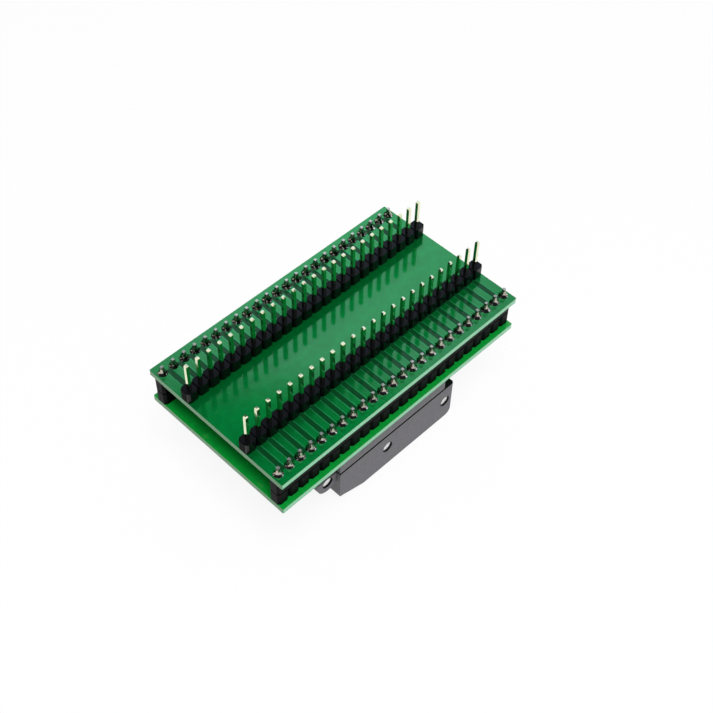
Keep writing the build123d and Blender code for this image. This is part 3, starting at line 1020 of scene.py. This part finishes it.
@dataclass(frozen=True)
class BrightPatch:
    """A bright part of the room that only shiny faces mirror, with soft edges.

    Its reach is how far it goes to each side of where it faces, and its foot and head are its
    angles above the horizon: each is where its edge begins and where that ends, in degrees.
    """

    facing: tuple[float, float, float]
    reach: tuple[float, float]
    foot: tuple[float, float]
    head: tuple[float, float]
    glow: float

    def shape(self, tree: Tree, level: Node, height: Socket) -> Node:
        """Draws the patch.

        Args:
            tree: the world's node tree.
            level: the direction looked in, laid level.
            height: the height of the direction looked in.

        Returns:
            One on the patch and nought off it.
        """
        ahead = add(tree, "VectorMath", {0: level, 1: self.facing}, operation="DOT_PRODUCT")
        inner, outer = (math.cos(math.radians(angle)) for angle in self.reach)
        beside = add(tree, "MapRange", {"Value": ahead.outputs["Value"], "From Min": outer,
                                        "From Max": inner}, interpolation_type="SMOOTHSTEP")
        over = ramp(tree, height, *self.foot)
        under = ramp(tree, height, *reversed(self.head))
        patch = add(tree, "Math", {0: under, 1: over}, operation="MULTIPLY")
        return add(tree, "Math", {0: patch, 1: beside}, operation="MULTIPLY")


@dataclass
class Studio:
    """White paper under soft light, with the camera where the photograph was taken from.

    A soft lamp hangs high up, a little to the front and left, in pale light from all round and
    some from below the thin paper. Shiny faces mirror a bright wall behind the adapter with a
    dark ceiling over it, a bright patch overhead, a window on the right, and a dark room on the
    camera's side: that gives the mask its pale veil, the pins' dark mirror images in it, and the
    solder its streaks.
    """

    camera_place: tuple[float, float, float] = (-106.55, -106.25, 201.86)
    camera_aim: tuple[float, float, float] = (-1.52, -6.37, 26.1)
    camera_roll: float = 1.65
    focal_length: float = 63.04
    near_clip: float = 10.0
    wall: BrightPatch = BrightPatch(facing=(0.69, 0.72, 0.0), reach=(4.0, 20.0),
                                    foot=(20.0, 32.0), head=(50.3, 52.8), glow=1.42)
    window: BrightPatch = BrightPatch(facing=(0.77, -0.64, 0.0), reach=(12.0, 18.0),
                                      foot=(4.0, 10.0), head=(40.0, 46.0), glow=2.4)
    overhead: tuple[float, float] = (58.0, 68.0)
    overhead_glow: float = 1.4
    room_mirrored: float = 0.03
    white: str = "#ffffff"
    mirror_tint: str = "#d6e7ff"
    paper: str = "#fbfbfb"
    sky_light: float = 0.56
    light_from_below: float = 1.0
    horizon: tuple[float, float] = (-2.0, 2.0)
    left_share: float = 0.45
    left_fade: tuple[float, float] = (-1.0, 0.2)
    key_power: float = 3.2
    key_size: float = 300.0
    key_place: tuple[float, float, float] = (-130.0, -200.0, 600.0)
    key_aim: tuple[float, float, float] = (0.0, 0.0, 20.0)
    floor_size: float = 4000.0
    floor_gap: float = 0.05
    floor_shadow: float = 0.16
    paper_thinness: float = 0.4

    def build(self) -> None:
        """Builds the room, the lamp, the floor and the camera."""
        bpy.context.scene.view_settings.view_transform = "Standard"
        self._room()
        self._lamp()
        self._floor()
        self._camera()

    def _room(self) -> None:
        """Lights the room from the sky, and shows mirrors a room of their own."""
        world = bpy.data.worlds.new("studio")
        bpy.context.scene.world = world
        world.use_nodes = True
        tree = world.node_tree
        tree.nodes.clear()
        direction = add(tree, "TexCoord").outputs["Generated"]
        path = add(tree, "LightPath")
        soft = add(tree, "Background", {"Color": linear(self.white),
                                        "Strength": self._sky(tree, direction)})
        seen = add(tree, "Background", {"Color": linear(self.white), "Strength": 1.0})
        gloss = add(tree, "Background", {"Color": linear(self.mirror_tint),
                                         "Strength": self._mirrored(tree, direction)})
        lit = add(tree, "MixShader", {0: path.outputs["Is Glossy Ray"], 1: soft, 2: gloss})
        clear = add(tree, "Math", {0: path.outputs["Is Camera Ray"],
                                   1: path.outputs["Is Transmission Ray"]}, operation="MAXIMUM")
        shown = add(tree, "MixShader", {0: clear, 1: lit, 2: seen})
        add(tree, "OutputWorld", {0: shown})

    def _sky(self, tree: Tree, direction: Socket) -> Node:
        """Gives the soft light from all round, which is weaker from the left.

        Args:
            tree: the world's node tree.
            direction: the direction that the light comes from.

        Returns:
            The light's strength.
        """
        axes = add(tree, "SeparateXYZ", {0: direction})
        sky = add(tree, "MapRange", {
            "Value": ramp(tree, axes.outputs["Z"], *self.horizon),
            "To Min": self.light_from_below, "To Max": self.sky_light})
        shade = add(tree, "MapRange", {
            "Value": axes, "From Min": self.left_fade[0], "From Max": self.left_fade[1],
            "To Min": self.left_share})
        return add(tree, "Math", {0: sky, 1: shade}, operation="MULTIPLY")

    def _mirrored(self, tree: Tree, direction: Socket) -> Node:
        """Gives what shiny faces mirror: the wall, the window, the patch overhead and the room.

        Args:
            tree: the world's node tree.
            direction: the direction that a mirror looks in.

        Returns:
            The brightness.
        """
        height = add(tree, "SeparateXYZ", {0: direction}).outputs["Z"]
        level = add(tree, "VectorMath", {0: direction, 1: (1.0, 1.0, 0.0)}, operation="MULTIPLY")
        level = add(tree, "VectorMath", {0: level}, operation="NORMALIZE")
        mirrored = add(tree, "MapRange", {
            "Value": self.wall.shape(tree, level, height), "To Min": self.room_mirrored,
            "To Max": self.wall.glow})
        for shape, glow in ((ramp(tree, height, *self.overhead), self.overhead_glow),
                            (self.window.shape(tree, level, height), self.window.glow)):
            bright = add(tree, "Math", {0: shape, 1: glow}, operation="MULTIPLY")
            mirrored = add(tree, "Math", {0: mirrored, 1: bright}, operation="MAXIMUM")
        return mirrored

    def _lamp(self) -> None:
        """Hangs a soft lamp high up, a little to the front and left of the adapter."""
        light = bpy.data.lights.new("key", "AREA")
        light.energy = self.key_power
        light.size = self.key_size * MM
        lamp = bpy.data.objects.new("key", light)
        bpy.context.scene.collection.objects.link(lamp)
        place, aim = Vector(self.key_place) * MM, Vector(self.key_aim) * MM
        lamp.location = place
        lamp.rotation_euler = (aim - place).to_track_quat("-Z", "Y").to_euler()
        lamp.visible_glossy = False

    def _floor(self) -> None:
        """Lays the pale floor, which the camera sees as white paper with a faint shadow.

        It is clear from below, and half clear from above, so that the lid still shows when it
        swings open below the level that the adapter stands on.
        """
        bpy.ops.object.select_all(action="DESELECT")
        bpy.ops.mesh.primitive_plane_add(size=self.floor_size * MM,
                                         location=(0, 0, -self.floor_gap * MM))
        floor = bpy.context.view_layer.objects.active
        floor.name = "floor"
        material = bpy.data.materials.new("white_paper")
        material.use_nodes = True
        tree = material.node_tree
        tree.nodes.clear()
        front = add(tree, "BsdfDiffuse", {"Color": linear(self.paper)})
        through = add(tree, "BsdfTranslucent", {"Color": linear(self.paper)})
        paper = add(tree, "MixShader", {0: self.paper_thinness, 1: front, 2: through})
        back = add(tree, "NewGeometry").outputs["Backfacing"]
        veil = add(tree, "MapRange", {"Value": back, "To Min": 1 - self.floor_shadow})
        seen = add(tree, "LightPath").outputs["Is Camera Ray"]
        share = add(tree, "Math", {0: veil, 1: seen}, operation="MULTIPLY")
        clear = add(tree, "BsdfTransparent")
        add(tree, "OutputMaterial", {0: add(tree, "MixShader", {0: share, 1: paper, 2: clear})})
        floor.data.materials.append(material)

    def _camera(self) -> None:
        """Sets the camera up, with the photograph's slight roll."""
        lens = bpy.data.cameras.new("camera")
        lens.lens = self.focal_length
        lens.clip_start = self.near_clip * MM
        camera = bpy.data.objects.new("camera", lens)
        bpy.context.scene.collection.objects.link(camera)
        place, aim = Vector(self.camera_place) * MM, Vector(self.camera_aim) * MM
        look = (aim - place).to_track_quat("-Z", "Y").to_matrix().to_4x4()
        roll = Matrix.Rotation(math.radians(self.camera_roll), 4, "Z")
        camera.matrix_world = Matrix.Translation(place) @ look @ roll
        bpy.context.scene.camera = camera


def main() -> None:
    """Builds the studio and dresses the adapter, and logs each part as it is built."""
    logging.basicConfig(level=logging.INFO, format="%(name)s: %(message)s")
    grid = PinGrid.from_frame()
    for part in (Studio(), PlugBoard(grid), SocketBoard(grid), Fittings()):
        part.build()
        LOG.info("%s is built", type(part).__name__)


if __name__ == "__main__":
    main()
